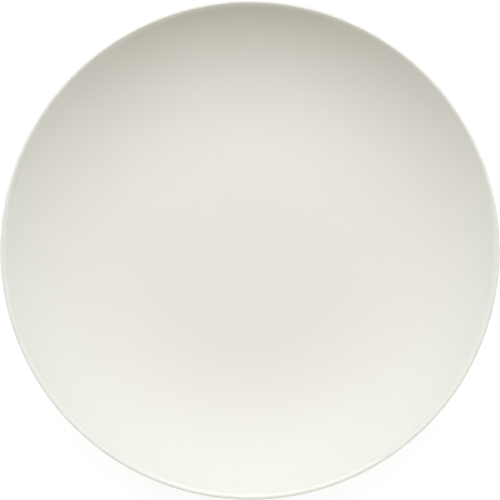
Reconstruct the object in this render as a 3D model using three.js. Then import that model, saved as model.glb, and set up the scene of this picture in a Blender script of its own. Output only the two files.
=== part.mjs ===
// A deep coupe plate in glazed porcelain: a round dish with no separate rim, whose well runs up
// into its wall in one sweep. Millimetres, +Z up, origin on the table under the plate's middle.
import * as THREE from "three";

// The finished plate, measured over its glaze.
const PLATE_DIAMETER = 280; // over the rim
const PLATE_HEIGHT = 42; // table to the top of the rim
const WELL_DIAMETER = 110; // middle of the face, out to where the wall starts to rise
const BASE_THICKNESS = 5; // at the edge of the well
const RIM_SLOPE = THREE.MathUtils.degToRad(50); // rise of the wall where the rim rounds it off
const RIM_EASE = 13; // wide rounding from the face up to a gentler rise
const EASE_SLOPE = THREE.MathUtils.degToRad(38); // that gentler rise
const RIM_ROLL = 1.2; // tight rounding from there up to the top of the rim
const RIM_EDGE = 1; // rounding from the top of the rim over to the outside

// The foot ring. Its diameter and width are those of the bare face that it stands on.
const FOOT_DIAMETER = 150;
const FOOT_WIDTH = 4;
const FOOT_EDGE = 0.6; // rounding on both sides of the bare face
const FOOT_DRAFT = THREE.MathUtils.degToRad(12); // lean of the foot's sides from upright
const FOOT_FILLET = 1.8; // where the foot's sides run into the underside
const RECESS_HEIGHT = 3.2; // table to the underside, inside the foot ring

// The glaze stops short of the face that the plate stands on.
const GLAZE_THICKNESS = 0.3;
const GLAZE_GAP = 0.02; // keeps the solids of glaze and body, fused in the kiln, from crossing
const GLAZE_LINE = 1.2; // table to the lower edge of the glaze

// How many straight steps stand for each round stretch.
const TURN_STEPS = 64;
const FACE_STEPS = 10;
const EASE_STEPS = 3;
const ROLL_STEPS = 3;
const WALL_STEPS = 9;
const FILLET_STEPS = 3;
const EDGE_STEPS = 3;
const HALVINGS = 40; // rounds of a search for a touching point

const PORCELAIN = new THREE.MeshStandardMaterial({ color: 0xe4ddcf, roughness: 0.8, metalness: 0 });
const GLAZE = new THREE.MeshStandardMaterial({ color: 0xe9e6dd, roughness: 0.25, metalness: 0 });

// The plate's section is drawn in radius and height, as a chain of stretches. A stretch is a
// function of depth under the finished surface, so that one chain draws the glaze and the body.
// BODY_OUTSIDE and BODY_INSIDE say whether the plate's material lies outside a hollow curve, or
// inside a bulging one.
const BODY_OUTSIDE = 1;
const BODY_INSIDE = -1;

// Angles run from straight down, turning away from the plate's axis.
const STRAIGHT_OUT = Math.PI / 2;
const STRAIGHT_UP = Math.PI;

function heading(angle) {
  return new THREE.Vector2(Math.sin(angle), -Math.cos(angle));
}

function arc(centre, radius, from, to, steps, body) {
  return (depth) =>
    Array.from({ length: steps + 1 }, (_, step) =>
      heading(from + ((to - from) * step) / steps)
        .multiplyScalar(radius + body * depth)
        .add(centre),
    );
}

// Joins stretches end to end, with each shared end kept once.
function trace(stretches, depth) {
  return stretches.flatMap((stretch, place) => stretch(depth).slice(place === 0 ? 0 : 1));
}

// The face, the wall and the rim between them. The rim's inner roundings meet the outer one at its top.
const bodyDepth = GLAZE_THICKNESS + GLAZE_GAP;
const wellRadius = WELL_DIAMETER / 2;
const wellHeight = RECESS_HEIGHT + BASE_THICKNESS;
const rimTop = PLATE_DIAMETER / 2 - RIM_EDGE;
const rollCentre = new THREE.Vector2(rimTop, PLATE_HEIGHT - RIM_ROLL);
const easeCentre = heading(EASE_SLOPE).multiplyScalar(RIM_EASE - RIM_ROLL).add(rollCentre);
const edgeCentre = new THREE.Vector2(rimTop, PLATE_HEIGHT - RIM_EDGE);

// A curve that leaves the edge of the well level, at the given height, and runs into a rounding of
// the rim at the rim's slope.
function sweepToRim(height, rimCentre, rimRadius, body) {
  const end = heading(RIM_SLOPE).multiplyScalar(-body * rimRadius).add(rimCentre);
  const bend = new THREE.Vector2(end.x - (end.y - height) / Math.tan(RIM_SLOPE), height);
  return new THREE.QuadraticBezierCurve(new THREE.Vector2(wellRadius, height), bend, end);
}

// The point of a sweep at a share of its run, moved into the plate's material by a depth.
function under(sweep, share, depth, body) {
  const along = sweep.getTangent(share);
  const inwards = new THREE.Vector2(along.y, -along.x).multiplyScalar(body);
  return sweep.getPoint(share).addScaledVector(inwards, depth);
}

// The stretch of a sweep between two shares of its run.
function swept(sweep, from, to, steps, body) {
  return (depth) =>
    Array.from({ length: steps + 1 }, (_, step) =>
      under(sweep, from + ((to - from) * step) / steps, depth, body),
    );
}

const face = sweepToRim(wellHeight, easeCentre, RIM_EASE, BODY_OUTSIDE);
const wall = sweepToRim(RECESS_HEIGHT, edgeCentre, RIM_EDGE, BODY_INSIDE);

// A level stretch at a height, from the plate's axis out to a radius.
function level(radius, height, body) {
  return (depth) => [0, radius].map((r) => new THREE.Vector2(r, height - body * depth));
}

// A side of the foot ring: the corner of its bare face, the way up it, and the way out of it.
function footSide(radius, outwards) {
  return {
    corner: new THREE.Vector2(radius, 0),
    up: new THREE.Vector2(outwards * Math.sin(FOOT_DRAFT), Math.cos(FOOT_DRAFT)),
    out: new THREE.Vector2(outwards * Math.cos(FOOT_DRAFT), -Math.sin(FOOT_DRAFT)),
  };
}

// The point that stands off a side by a distance, at a height over the table.
function beside(side, distance, height) {
  const climb = (height - distance * side.out.y) / side.up.y;
  return side.corner.clone().addScaledVector(side.up, climb).addScaledVector(side.out, distance);
}

// The stretch of a side from the fillet over it down to the lower edge of the glaze.
function glazedSide(side, filletCentre) {
  return (depth) => [
    filletCentre.clone().addScaledVector(side.out, -(footFillet + depth)),
    beside(side, bodyDepth - depth, GLAZE_LINE),
  ];
}

const outerSide = footSide(FOOT_DIAMETER / 2, 1);
const innerSide = footSide(FOOT_DIAMETER / 2 - FOOT_WIDTH, -1);
const footFillet = Math.min(FOOT_FILLET, RECESS_HEIGHT - GLAZE_LINE);
const filletStandoff = footFillet + bodyDepth;

// Where the foot's outer side runs into the wall, the fillet touches both from outside. Its place on
// the wall is found by halving the run of the wall's sweep.
function outerFilletShare() {
  let near = 0;
  let far = 1;
  for (let halving = 0; halving < HALVINGS; halving += 1) {
    const middle = (near + far) / 2;
    const centre = under(wall, middle, -footFillet, BODY_INSIDE);
    const standoff = centre.sub(outerSide.corner).dot(outerSide.out);
    if (standoff < filletStandoff) {
      near = middle;
    } else {
      far = middle;
    }
  }
  return near;
}

const wallShare = outerFilletShare();
const wallSlope = wall.getTangent(wallShare).angle(); // where the fillet touches the wall
const outerFillet = under(wall, wallShare, -footFillet, BODY_INSIDE);
const innerFillet = beside(innerSide, filletStandoff, RECESS_HEIGHT - footFillet);
const sideHeading = STRAIGHT_OUT + FOOT_DRAFT; // from a fillet's centre, square to a side of the foot
const easeStart = STRAIGHT_UP + RIM_SLOPE;
const easeEnd = STRAIGHT_UP + EASE_SLOPE;

// From the middle of the face, over the rim and down the outside to the edge of the glaze.
const overPlate = [
  level(wellRadius, wellHeight, BODY_OUTSIDE),
  swept(face, 0, 1, FACE_STEPS, BODY_OUTSIDE),
  arc(easeCentre, RIM_EASE, easeStart, easeEnd, EASE_STEPS, BODY_INSIDE),
  arc(rollCentre, RIM_ROLL, easeEnd, STRAIGHT_UP, ROLL_STEPS, BODY_INSIDE),
  arc(edgeCentre, RIM_EDGE, STRAIGHT_UP, STRAIGHT_OUT, EDGE_STEPS, BODY_INSIDE),
  arc(edgeCentre, RIM_EDGE, STRAIGHT_OUT, RIM_SLOPE, EDGE_STEPS, BODY_INSIDE),
  swept(wall, 1, wallShare, WALL_STEPS, BODY_INSIDE),
  arc(outerFillet, footFillet, wallSlope - STRAIGHT_UP, -sideHeading, FILLET_STEPS, BODY_OUTSIDE),
  glazedSide(outerSide, outerFillet),
];

// From the middle of the recess inside the foot ring to the edge of the glaze there.
const inRecess = [
  level(innerFillet.x, RECESS_HEIGHT, BODY_INSIDE),
  arc(innerFillet, footFillet, STRAIGHT_UP, sideHeading, FILLET_STEPS, BODY_OUTSIDE),
  glazedSide(innerSide, innerFillet),
];

// The bare foot below the glaze, from its inner side round to its outer side.
function bareFoot() {
  const innerEdge = beside(innerSide, -FOOT_EDGE, FOOT_EDGE);
  const outerEdge = beside(outerSide, -FOOT_EDGE, FOOT_EDGE);
  const turn = STRAIGHT_UP - sideHeading;
  const bare = [
    arc(innerEdge, FOOT_EDGE, -turn, 0, EDGE_STEPS, BODY_INSIDE),
    arc(outerEdge, FOOT_EDGE, 0, turn, EDGE_STEPS, BODY_INSIDE),
  ];
  return bare.flatMap((stretch) => stretch(0));
}

// Turns a section about the plate's axis, which a lathe has along Y.
function turned(name, section, material) {
  const mesh = new THREE.Mesh(new THREE.LatheGeometry(section, TURN_STEPS), material);
  mesh.name = name;
  mesh.rotation.x = Math.PI / 2;
  return mesh;
}

const bodySection = [
  ...trace(inRecess, bodyDepth),
  ...bareFoot(),
  ...trace(overPlate, bodyDepth).toReversed(),
];
const coatSection = [
  ...trace(overPlate, GLAZE_THICKNESS),
  ...trace(overPlate, 0).toReversed(),
];
const baseSection = [
  ...trace(inRecess, 0),
  ...trace(inRecess, GLAZE_THICKNESS).toReversed(),
];

const plate = new THREE.Group();
plate.add(
  turned("porcelain_body", bodySection, PORCELAIN),
  turned("glaze_coat", coatSection, GLAZE),
  turned("base_glaze", baseSection, GLAZE),
);

export default plate;
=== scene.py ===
"""A deep coupe plate in ivory glazed porcelain, seen from straight above in soft studio light."""
import math

import bpy
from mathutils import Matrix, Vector


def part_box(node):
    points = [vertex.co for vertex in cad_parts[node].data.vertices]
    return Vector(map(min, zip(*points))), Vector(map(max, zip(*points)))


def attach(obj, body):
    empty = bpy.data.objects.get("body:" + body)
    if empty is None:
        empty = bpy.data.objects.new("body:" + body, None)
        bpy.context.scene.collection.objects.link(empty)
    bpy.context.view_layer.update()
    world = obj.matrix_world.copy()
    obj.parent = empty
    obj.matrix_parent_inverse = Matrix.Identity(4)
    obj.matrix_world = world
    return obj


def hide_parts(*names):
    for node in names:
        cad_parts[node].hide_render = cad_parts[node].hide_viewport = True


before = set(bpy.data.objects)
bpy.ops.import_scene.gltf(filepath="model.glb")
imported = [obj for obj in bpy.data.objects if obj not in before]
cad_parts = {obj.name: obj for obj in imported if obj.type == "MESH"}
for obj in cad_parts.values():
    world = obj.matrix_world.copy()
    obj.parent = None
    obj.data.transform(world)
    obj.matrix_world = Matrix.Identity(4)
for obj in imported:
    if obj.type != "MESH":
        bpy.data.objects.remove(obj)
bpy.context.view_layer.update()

MM = 0.001

# Sizes of the finished plate, as in the CAD model. The frame's boxes give the others.
WELL_RADIUS = 55 * MM
WELL_HEIGHT = 8.2 * MM
RIM_SLOPE = math.radians(50)  # rise of the wall where the rim rounds it off
RIM_EASE = 13 * MM  # wide rounding from the face up to a gentler rise
EASE_SLOPE = math.radians(38)  # that gentler rise
RIM_ROLL = 1.2 * MM  # tight rounding from there up to the top of the rim
RIM_EDGE = 1.0 * MM  # rounding from the top of the rim over to the outside
FOOT_RADIUS = 75 * MM
FOOT_WIDTH = 4 * MM
FOOT_EDGE = 0.6 * MM  # rounding on both sides of the face that the plate stands on
FOOT_DRAFT = math.radians(12)  # lean of the foot's sides from upright
FOOT_FILLET = 1.8 * MM  # where the foot's sides run into the underside
RECESS_HEIGHT = 3.2 * MM
GLAZE_THICKNESS = 0.3 * MM

coat_low, coat_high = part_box("glaze_coat")
body_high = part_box("porcelain_body")[1]
PLATE_RADIUS = coat_high.x
PLATE_HEIGHT = coat_high.z
GLAZE_LINE = coat_low.z
BODY_DEPTH = coat_high.z - body_high.z
FOOT_MIDDLE = FOOT_RADIUS - FOOT_WIDTH / 2

# The lower edge of the glaze is wiped with a sponge, so it wanders along the sides of the foot.
WIPE_REACH = 1.0 * MM  # how far up the side the wandering fades out
WIPE_WAVES = (  # count round the foot, swing and phase
    (5, 0.08 * MM, 0.7),
    (11, 0.05 * MM, 0.0),
    (23, 0.03 * MM, 2.0),
)

# Straight steps in each round stretch, close enough together to show no corners.
TURN_STEPS = 240
WELL_STEPS = 8
FACE_STEPS = 36
EASE_STEPS = 6
ROLL_STEPS = 8
EDGE_STEPS = 6
WALL_STEPS = 30
FILLET_STEPS = 8
SIDE_STEPS = 4
FOOT_STEPS = 4
HALVINGS = 40  # rounds of a search for a touching point


# The section, in radius and height

# A stretch of the section is a function of depth under the finished surface, so that one chain
# of stretches draws the glaze and the body.
BODY_OUTSIDE = 1  # the plate's material lies outside a hollow curve
BODY_INSIDE = -1  # or inside a bulging one
STRAIGHT_OUT = math.pi / 2
STRAIGHT_UP = math.pi


def heading(angle):
    """A unit step, with angles from straight down, turning away from the axis."""
    return Vector((math.sin(angle), -math.cos(angle)))


def between(first, last, steps):
    """Points in even steps from one to another, both ends included."""
    return [first.lerp(last, step / steps) for step in range(steps + 1)]


def arc(centre, radius, start, end, steps, body):
    """A stretch round a circle."""
    def stretch(depth):
        angles = [start + (end - start) * step / steps for step in range(steps + 1)]
        return [centre + heading(angle) * (radius + body * depth) for angle in angles]
    return stretch


def level(radius, height, steps, body):
    """A level stretch from the plate's axis out to a radius."""
    def stretch(depth):
        middle = Vector((0, height - body * depth))
        return between(middle, middle + Vector((radius, 0)), steps)
    return stretch


def trace(stretches, depth):
    """Joins stretches end to end, with each shared end kept once."""
    points = stretches[0](depth)
    for stretch in stretches[1:]:
        points += stretch(depth)[1:]
    return points


def sweep_to_rim(height, rim_centre, rim_radius, body):
    """A curve, as its start, bend and end, from the well's level to the slope of the rim."""
    end = rim_centre - heading(RIM_SLOPE) * (body * rim_radius)
    bend = Vector((end.x - (end.y - height) / math.tan(RIM_SLOPE), height))
    return Vector((WELL_RADIUS, height)), bend, end


def slope_at(sweep, share):
    """How steep a sweep is at a share of its run."""
    start, bend, end = sweep
    along = (bend - start).lerp(end - bend, share)
    return math.atan2(along.y, along.x)


def under(sweep, share, depth, body):
    """The point of a sweep at a share of its run, moved into the plate's material by a depth."""
    start, bend, end = sweep
    point = start.lerp(bend, share).lerp(bend.lerp(end, share), share)
    return point + heading(slope_at(sweep, share)) * (body * depth)


def swept(sweep, first, last, steps, body):
    """The stretch of a sweep between two shares of its run."""
    def stretch(depth):
        shares = [first + (last - first) * step / steps for step in range(steps + 1)]
        return [under(sweep, share, depth, body) for share in shares]
    return stretch


def foot_side(radius, outwards):
    """A side of the foot ring: its corner on the table, the way up it and the way out of it."""
    corner = Vector((radius, 0))
    up = Vector((outwards * math.sin(FOOT_DRAFT), math.cos(FOOT_DRAFT)))
    out = Vector((outwards * math.cos(FOOT_DRAFT), -math.sin(FOOT_DRAFT)))
    return corner, up, out


def beside(side, distance, height):
    """The point that stands off a side by a distance, at a height over the table."""
    corner, up, out = side
    return corner + up * ((height - distance * out.y) / up.y) + out * distance


def glazed_side(side, fillet_centre):
    """The stretch of a side from the fillet over it down to the lower edge of the glaze."""
    out = side[2]

    def stretch(depth):
        top = fillet_centre - out * (FOOT_FILLET + depth)
        bottom = beside(side, BODY_DEPTH - depth, GLAZE_LINE)
        return between(top, bottom, SIDE_STEPS)
    return stretch


def outer_fillet_share():
    """Where on the wall's run the fillet over the foot's outer side touches it, by halving."""
    corner, _, out = outer_side
    near = 0.0
    far = 1.0
    for _ in range(HALVINGS):
        middle = (near + far) / 2
        centre = under(wall, middle, -FOOT_FILLET, BODY_INSIDE)
        if (centre - corner).dot(out) < FOOT_FILLET + BODY_DEPTH:
            near = middle
        else:
            far = middle
    return near


rim_top = PLATE_RADIUS - RIM_EDGE
roll_centre = Vector((rim_top, PLATE_HEIGHT - RIM_ROLL))
ease_centre = roll_centre + heading(EASE_SLOPE) * (RIM_EASE - RIM_ROLL)
edge_centre = Vector((rim_top, PLATE_HEIGHT - RIM_EDGE))
face = sweep_to_rim(WELL_HEIGHT, ease_centre, RIM_EASE, BODY_OUTSIDE)
wall = sweep_to_rim(RECESS_HEIGHT, edge_centre, RIM_EDGE, BODY_INSIDE)
outer_side = foot_side(FOOT_RADIUS, 1)
inner_side = foot_side(FOOT_RADIUS - FOOT_WIDTH, -1)
wall_share = outer_fillet_share()
outer_fillet = under(wall, wall_share, -FOOT_FILLET, BODY_INSIDE)
inner_fillet = beside(inner_side, FOOT_FILLET + BODY_DEPTH, RECESS_HEIGHT - FOOT_FILLET)
ease_start = STRAIGHT_UP + RIM_SLOPE
ease_end = STRAIGHT_UP + EASE_SLOPE
wall_heading = slope_at(wall, wall_share) - STRAIGHT_UP  # from the outer fillet's centre to the wall
side_heading = STRAIGHT_OUT + FOOT_DRAFT  # from a fillet's centre, square to a side of the foot

# From the middle of the face, over the rim and down the outside to the edge of the glaze.
over_plate = [
    level(WELL_RADIUS, WELL_HEIGHT, WELL_STEPS, BODY_OUTSIDE),
    swept(face, 0, 1, FACE_STEPS, BODY_OUTSIDE),
    arc(ease_centre, RIM_EASE, ease_start, ease_end, EASE_STEPS, BODY_INSIDE),
    arc(roll_centre, RIM_ROLL, ease_end, STRAIGHT_UP, ROLL_STEPS, BODY_INSIDE),
    arc(edge_centre, RIM_EDGE, STRAIGHT_UP, STRAIGHT_OUT, EDGE_STEPS, BODY_INSIDE),
    arc(edge_centre, RIM_EDGE, STRAIGHT_OUT, RIM_SLOPE, EDGE_STEPS, BODY_INSIDE),
    swept(wall, 1, wall_share, WALL_STEPS, BODY_INSIDE),
    arc(outer_fillet, FOOT_FILLET, wall_heading, -side_heading, FILLET_STEPS, BODY_OUTSIDE),
    glazed_side(outer_side, outer_fillet),
]

# From the middle of the recess inside the foot ring to the edge of the glaze there.
in_recess = [
    level(inner_fillet.x, RECESS_HEIGHT, WELL_STEPS, BODY_INSIDE),
    arc(inner_fillet, FOOT_FILLET, STRAIGHT_UP, side_heading, FILLET_STEPS, BODY_OUTSIDE),
    glazed_side(inner_side, inner_fillet),
]


def bare_foot():
    """The foot below the glaze, from its inner side round to its outer side."""
    turn = STRAIGHT_UP - side_heading
    inner_edge = beside(inner_side, -FOOT_EDGE, FOOT_EDGE)
    outer_edge = beside(outer_side, -FOOT_EDGE, FOOT_EDGE)
    inner = arc(inner_edge, FOOT_EDGE, -turn, 0, EDGE_STEPS, BODY_INSIDE)(0)
    outer = arc(outer_edge, FOOT_EDGE, 0, turn, EDGE_STEPS, BODY_INSIDE)(0)
    return inner + between(inner[-1], outer[0], FOOT_STEPS)[1:-1] + outer


# The pieces

def wiped(point, side, angle):
    """A point of the glaze moved along a side of the foot, most at the glaze's lower edge."""
    near_edge = max(0, 1 - (point.y - GLAZE_LINE) / WIPE_REACH)
    swing = sum(size * math.sin(count * angle + phase) for count, size, phase in WIPE_WAVES)
    return point + side[1] * (near_edge * swing)


def new_object(name, mesh):
    """Puts a mesh into the scene."""
    shown_mesh = bpy.data.objects.new(name, mesh)
    bpy.context.scene.collection.objects.link(shown_mesh)
    return shown_mesh


def turned(name, section, side=None):
    """Turns a section that starts and ends on the plate's axis into a closed mesh."""
    first, *rings, last = section
    vertices = []
    for ring in rings:
        for step in range(TURN_STEPS):
            angle = 2 * math.pi * step / TURN_STEPS
            point = wiped(ring, side, angle) if side else ring
            vertices.append((point.x * math.cos(angle), point.x * math.sin(angle), point.y))
    start = len(vertices)
    end = start + 1
    vertices += [(0, 0, first.y), (0, 0, last.y)]
    top = start - TURN_STEPS
    faces = []
    for step in range(TURN_STEPS):
        after = (step + 1) % TURN_STEPS
        faces.append((start, after, step))
        faces += [(low + step, low + after, low + TURN_STEPS + after, low + TURN_STEPS + step)
                  for low in range(0, top, TURN_STEPS)]
        faces.append((end, top + step, top + after))
    mesh = bpy.data.meshes.new(name)
    mesh.from_pydata(vertices, [], faces)
    mesh.polygons.foreach_set("use_smooth", [True] * len(faces))
    mesh.update()
    return new_object(name, mesh)


body_section = trace(in_recess, BODY_DEPTH) + bare_foot() + trace(over_plate, BODY_DEPTH)[::-1]
coat_section = trace(over_plate, GLAZE_THICKNESS) + trace(over_plate, 0)[::-1]
base_section = trace(in_recess, 0) + trace(in_recess, GLAZE_THICKNESS)[::-1]
body = turned("bisque_body", body_section)
coat = turned("ivory_glaze", coat_section, outer_side)
base = turned("underside_glaze", base_section, inner_side)


# The materials

# Noise lies mostly between these two, so they stand for its least and its most.
NOISE_LOW, NOISE_HIGH = 0.3, 0.7

# The glaze
IVORY_DEEP = (0.788, 0.765, 0.682, 1)
IVORY_PALE = (0.802, 0.779, 0.697, 1)
IVORY_POOLED = (0.735, 0.712, 0.627, 1)
DRIFT_SPOT = 70 * MM  # its tone drifts between deep and pale
DRIFT_DETAIL = 3
POOL_TOP = 7.5 * MM  # it gathers in the corners of the foot, below this height
POOL_FULL = 3.0 * MM
POOL_WIDTH = 9 * MM  # and within this distance of the middle of the foot ring
SATIN_LOW, SATIN_HIGH = 0.62, 0.68  # its roughness
SATIN_SPOT = 11 * MM
SATIN_DETAIL = 2
RIM_ROUGHNESS = 0.22  # it is thin and glossy on the inner slope of the rim
GLOSS_START = 2.9 * MM  # below the top of the rim
GLOSS_FULL = 2.3 * MM
GLOSS_FADE = 1.6 * MM  # from the outer edge
GLOSS_END = 1.0 * MM
RIPPLE_SPOT = 2.5 * MM
RIPPLE_DETAIL = 1
RIPPLE_DEPTH = 0.004 * MM

# The bare porcelain
BARE_DEEP = (0.64, 0.60, 0.52, 1)
BARE_PALE = (0.80, 0.77, 0.69, 1)
BARE_ROUGHNESS = 0.88
GRAIN_SPOT = 0.5 * MM
GRAIN_DETAIL = 4
GRAIN_DEPTH = 0.03 * MM
SCUFF_GREY = (0.42, 0.41, 0.39, 1)
SCUFF_ROUGHNESS = 0.6
SCUFF_STRENGTH = 0.7  # of the grey, where a scuff is strongest
SCUFF_START, SCUFF_FULL = 0.5, 0.75  # of the noise that places the scuffs
SCUFF_SPOT = 0.4 * MM  # width of a scuff
SCUFF_STRETCH = 20  # its length along the foot ring against its width
SCUFF_DETAIL = 3
BEARING_TOP = 0.3 * MM  # scuffs stay on the face that the plate stands on

# Inputs and output of a Mix node that are used for colours.
MIX_SHARE, MIX_FIRST, MIX_SECOND, MIX_RESULT = 0, 6, 7, 2


def new_tree(name):
    """A material, its node tree and its main shader."""
    material = bpy.data.materials.new(name)
    material.use_nodes = True
    tree = material.node_tree
    return material, tree, tree.nodes["Principled BSDF"]


def add(tree, kind, inputs, **settings):
    """Adds a node. An input is a number, a colour or another node's output. Returns its outputs."""
    node = tree.nodes.new("ShaderNode" + kind)
    for name, value in settings.items():
        setattr(node, name, value)
    for name, value in inputs.items():
        if isinstance(value, bpy.types.NodeSocket):
            tree.links.new(value, node.inputs[name])
        else:
            node.inputs[name].default_value = value
    return node.outputs


def noise(tree, place, size, detail):
    """Even noise from 0 to 1, with spots of about the given size."""
    return add(tree, "TexNoise", {"Vector": place, "Scale": 1 / size, "Detail": detail})["Fac"]


def ease(tree, value, start, end, low=0.0, high=1.0):
    """Runs smoothly from low to high while the value goes from start to end."""
    inputs = {"Value": value, "From Min": start, "From Max": end, "To Min": low, "To Max": high}
    return add(tree, "MapRange", inputs, interpolation_type="SMOOTHSTEP")["Result"]


def maths(tree, operation, *values):
    """The result of one step of arithmetic."""
    return add(tree, "Math", dict(enumerate(values)), operation=operation)["Value"]


def colour_between(tree, share, first, second):
    """A colour that goes from the first to the second as the share goes from 0 to 1."""
    inputs = {MIX_SHARE: share, MIX_FIRST: first, MIX_SECOND: second}
    return add(tree, "Mix", inputs, data_type="RGBA")[MIX_RESULT]


def bumped(tree, shader, height, depth):
    """Raises the surface by a height from 0 to 1 times a depth."""
    normal = add(tree, "Bump", {"Height": height, "Distance": depth})["Normal"]
    tree.links.new(normal, shader.inputs["Normal"])


def places(tree):
    """Where a point lies: its place, the parts of that, and its distance from the plate's axis."""
    place = add(tree, "TexCoord", {})["Object"]
    parts = add(tree, "SeparateXYZ", {"Vector": place})
    flat = add(tree, "CombineXYZ", {"X": parts["X"], "Y": parts["Y"]})["Vector"]
    radius = add(tree, "VectorMath", {0: flat}, operation="LENGTH")["Value"]
    return place, parts, radius


def glaze_material():
    """Satin glaze with a glossy rim. Its tone drifts, and deepens where it pools at the foot."""
    material, tree, shader = new_tree("ivory_glaze")
    place, parts, radius = places(tree)
    drift = noise(tree, place, DRIFT_SPOT, DRIFT_DETAIL)
    tone = colour_between(tree, drift, IVORY_DEEP, IVORY_PALE)
    off_foot = maths(tree, "SUBTRACT", radius, FOOT_MIDDLE)
    beside_foot = ease(tree, maths(tree, "ABSOLUTE", off_foot), POOL_WIDTH, FOOT_WIDTH)
    low_down = ease(tree, parts["Z"], POOL_TOP, POOL_FULL)
    pooled = maths(tree, "MULTIPLY", beside_foot, low_down)
    colour = colour_between(tree, pooled, tone, IVORY_POOLED)
    tree.links.new(colour, shader.inputs["Base Color"])
    patches = noise(tree, place, SATIN_SPOT, SATIN_DETAIL)
    satin = ease(tree, patches, NOISE_LOW, NOISE_HIGH, SATIN_LOW, SATIN_HIGH)
    near_top = ease(tree, parts["Z"], PLATE_HEIGHT - GLOSS_START, PLATE_HEIGHT - GLOSS_FULL)
    off_edge = ease(tree, radius, PLATE_RADIUS - GLOSS_END, PLATE_RADIUS - GLOSS_FADE)
    on_rim = maths(tree, "MULTIPLY", near_top, off_edge)
    roughness = ease(tree, on_rim, 0.0, 1.0, satin, RIM_ROUGHNESS)
    tree.links.new(roughness, shader.inputs["Roughness"])
    bumped(tree, shader, noise(tree, place, RIPPLE_SPOT, RIPPLE_DETAIL), RIPPLE_DEPTH)
    return material


def porcelain_material():
    """Bare fired porcelain: fine grained and matt, with grey scuffs on the face it stands on."""
    material, tree, shader = new_tree("bare_porcelain")
    place, parts, radius = places(tree)
    grain = noise(tree, place, GRAIN_SPOT, GRAIN_DETAIL)
    tone = colour_between(tree, ease(tree, grain, NOISE_LOW, NOISE_HIGH), BARE_DEEP, BARE_PALE)
    turn = maths(tree, "ARCTAN2", parts["Y"], parts["X"])
    along = maths(tree, "MULTIPLY", turn, FOOT_MIDDLE / SCUFF_STRETCH)
    scuff_place = add(tree, "CombineXYZ", {"X": along, "Y": radius})["Vector"]
    scuffs = noise(tree, scuff_place, SCUFF_SPOT, SCUFF_DETAIL)
    streaks = ease(tree, scuffs, SCUFF_START, SCUFF_FULL, 0.0, SCUFF_STRENGTH)
    bearing = ease(tree, parts["Z"], BEARING_TOP, 0.0)
    scuffed = maths(tree, "MULTIPLY", streaks, bearing)
    colour = colour_between(tree, scuffed, tone, SCUFF_GREY)
    tree.links.new(colour, shader.inputs["Base Color"])
    roughness = ease(tree, scuffed, 0.0, SCUFF_STRENGTH, BARE_ROUGHNESS, SCUFF_ROUGHNESS)
    tree.links.new(roughness, shader.inputs["Roughness"])
    bumped(tree, shader, grain, GRAIN_DEPTH)
    return material


glaze = glaze_material()
porcelain = porcelain_material()
for piece, material, node, slot in (
    (body, porcelain, "porcelain_body", "porcelain"),
    (coat, glaze, "glaze_coat", "glaze"),
    (base, glaze, "base_glaze", "glaze"),
):
    piece.data.materials.append(material)
    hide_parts(node)
    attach(piece, "root")


# The floor and the world, white to the camera and in reflections

WHITE = (1, 1, 1)
FLOOR_REACH = 6.0
FLOOR_LEVEL = -0.1 * MM  # just clear of the foot
FLOOR_HOLE = FOOT_RADIUS - FOOT_EDGE  # under the foot, so that light from below reaches the recess
FLOOR_GREY = (0.85, 0.85, 0.85, 1)  # as it lights the plate
SHADOW_GREY = (0.25, 0.25, 0.25, 1)  # the part of the floor's white that a shadow takes away
FLOOR_GLOW = 0.84  # the rest of that white, near the plate
GLOW_START, GLOW_FULL = 0.4, 1.2  # the glow makes up for the lamps, which fade away from the plate
ROOM_LIGHT = 0.035  # even light from all round
ROOM_COLOUR = (1, 0.97, 0.86, 1)


def shown(tree):
    """1 for rays from the camera, a reflection or glass, and 0 for light that spreads."""
    rays = add(tree, "LightPath", {})
    seen = maths(tree, "MAXIMUM", rays["Is Camera Ray"], rays["Is Glossy Ray"])
    return maths(tree, "MAXIMUM", seen, rays["Is Transmission Ray"])


def floor_material():
    """White with a faint shadow from above, and see-through from below."""
    material, tree, shader = new_tree("floor")
    tree.nodes.remove(shader)
    plain = add(tree, "BsdfDiffuse", {"Color": FLOOR_GREY})["BSDF"]
    shaded = add(tree, "BsdfDiffuse", {"Color": SHADOW_GREY})["BSDF"]
    radius = places(tree)[2]
    strength = ease(tree, radius, GLOW_START, GLOW_FULL, FLOOR_GLOW, 1.0)
    glow = add(tree, "Emission", {"Strength": strength})["Emission"]
    white = add(tree, "AddShader", {0: shaded, 1: glow})["Shader"]
    top = add(tree, "MixShader", {0: shown(tree), 1: plain, 2: white})["Shader"]
    from_below = add(tree, "NewGeometry", {})["Backfacing"]
    clear = add(tree, "BsdfTransparent", {})["BSDF"]
    surface = add(tree, "MixShader", {0: from_below, 1: top, 2: clear})["Shader"]
    tree.links.new(surface, tree.nodes["Material Output"].inputs["Surface"])
    return material


def floor_round():
    """A flat ring round the foot, far out into the white."""
    vertices = []
    faces = []
    for step in range(TURN_STEPS):
        angle = 2 * math.pi * step / TURN_STEPS
        vertices += [(reach * math.cos(angle), reach * math.sin(angle), FLOOR_LEVEL)
                     for reach in (FLOOR_HOLE, FLOOR_REACH)]
        near = 2 * step
        after = 2 * ((step + 1) % TURN_STEPS)
        faces.append((near, near + 1, after + 1, after))
    mesh = bpy.data.meshes.new("floor")
    mesh.from_pydata(vertices, [], faces)
    mesh.materials.append(floor_material())
    new_object("floor", mesh)


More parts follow.
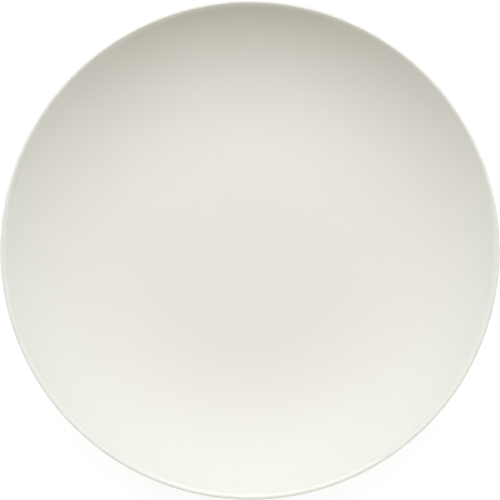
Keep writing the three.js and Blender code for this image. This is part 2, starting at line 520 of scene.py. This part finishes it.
def studio_world():
    """Dim for the light that it gives, and white where it is seen."""
    world = bpy.data.worlds.new("studio")
    world.use_nodes = True
    tree = world.node_tree
    tree.nodes.remove(tree.nodes["Background"])
    dim = add(tree, "Background", {"Color": ROOM_COLOUR, "Strength": ROOM_LIGHT})["Background"]
    white = add(tree, "Background", {"Color": (*WHITE, 1)})["Background"]
    surface = add(tree, "MixShader", {0: shown(tree), 1: dim, 2: white})["Shader"]
    tree.links.new(surface, tree.nodes["World Output"].inputs["Surface"])
    bpy.context.scene.world = world


# The lamps

# A turn is counted from straight behind the plate, and a rise from the table, both in degrees.
# A size is a width and a height in metres, and a power is in watts.
LAMP_DISTANCE = 1.7
BEHIND = 90  # bearing, from +X towards +Y
IN_FRONT = 270
OVERHEAD = 90  # rise
BELOW = -90

# Two soft boxes behind the plate, and two fills at its sides
BACK_TURN, BACK_RISE = 45, 54
BACK_SIZE = (1.5, 1.5)
BACK_POWER = 14.6
BACK_TINT = (0.955, 1, 1.13)
SIDE_TURN, SIDE_RISE = 70, 20
SIDE_SIZE = (2.0, 1.15)
SIDE_POWER = 9.8
SIDE_TINT = (0.87, 1, 1.08)

# A weak warm lamp above, and one below that lights the recess through the hole in the floor
UPRIGHT_SIZE = (0.7, 0.7)
TOP_POWER = 2.2
TOP_TINT = (1.5, 1, 0.2)
UNDER_POWER = 20.0

# A strip lower than the rim, for the outside of its front
STRIP_RISE = 0.7
STRIP_SIZE = (1.8, 0.04)
STRIP_POWER = 17.0

# A card that only reflections see, for the bright line along the front of the rim
CARD_RISE = 14
CARD_SIZE = (2.0, 0.6)
CARD_POWER = 10.5


def away_from_plate(bearing, rise):
    """A unit step from the plate's middle towards a lamp."""
    flat = math.radians(bearing)
    up = math.radians(rise)
    return Vector((math.cos(up) * math.cos(flat), math.cos(up) * math.sin(flat), math.sin(up)))


def softbox(name, bearing, rise, size, power, colour):
    """A soft lamp that faces the plate."""
    data = bpy.data.lights.new(name, "AREA")
    data.shape = "RECTANGLE"
    data.size, data.size_y = size
    data.energy = power
    data.color = colour
    away = away_from_plate(bearing, rise)
    lamp = bpy.data.objects.new(name, data)
    lamp.location = away * LAMP_DISTANCE
    lamp.rotation_mode = "QUATERNION"
    lamp.rotation_quaternion = (-away).to_track_quat("-Z", "Y")
    lamp.visible_camera = False
    bpy.context.scene.collection.objects.link(lamp)
    return lamp


def softbox_pair(name, turn, rise, size, power, colour):
    """Two lamps alike, to the right and to the left of straight behind."""
    softbox(name + "_right", BEHIND - turn, rise, size, power, colour)
    softbox(name + "_left", BEHIND + turn, rise, size, power, colour)


floor_round()
studio_world()
softbox_pair("back", BACK_TURN, BACK_RISE, BACK_SIZE, BACK_POWER, BACK_TINT)
softbox_pair("side", SIDE_TURN, SIDE_RISE, SIDE_SIZE, SIDE_POWER, SIDE_TINT)
softbox("overhead", BEHIND, OVERHEAD, UPRIGHT_SIZE, TOP_POWER, TOP_TINT)
softbox("front_low", IN_FRONT, STRIP_RISE, STRIP_SIZE, STRIP_POWER, WHITE)
softbox("under", BEHIND, BELOW, UPRIGHT_SIZE, UNDER_POWER, WHITE)
card = softbox("back_low", BEHIND, CARD_RISE, CARD_SIZE, CARD_POWER, WHITE)
card.visible_diffuse = False


# The camera, straight above the plate, which all but fills the frame

CAMERA_DISTANCE = 1.5  # over the widest part of the rim
SENSOR = 36  # millimetres across, as Blender counts a lens
FRAME_PIXELS = 500
PLATE_PIXELS = 499.6


def overhead_camera():
    """A camera with its frame's lower edge towards -Y."""
    data = bpy.data.cameras.new("camera")
    half_view = PLATE_RADIUS * FRAME_PIXELS / PLATE_PIXELS
    data.sensor_width = SENSOR
    data.lens = SENSOR / 2 * CAMERA_DISTANCE / half_view
    camera = bpy.data.objects.new("camera", data)
    camera.location = (0, 0, edge_centre.y + CAMERA_DISTANCE)
    bpy.context.scene.collection.objects.link(camera)
    bpy.context.scene.camera = camera


overhead_camera()
bpy.context.scene.view_settings.view_transform = "Standard"
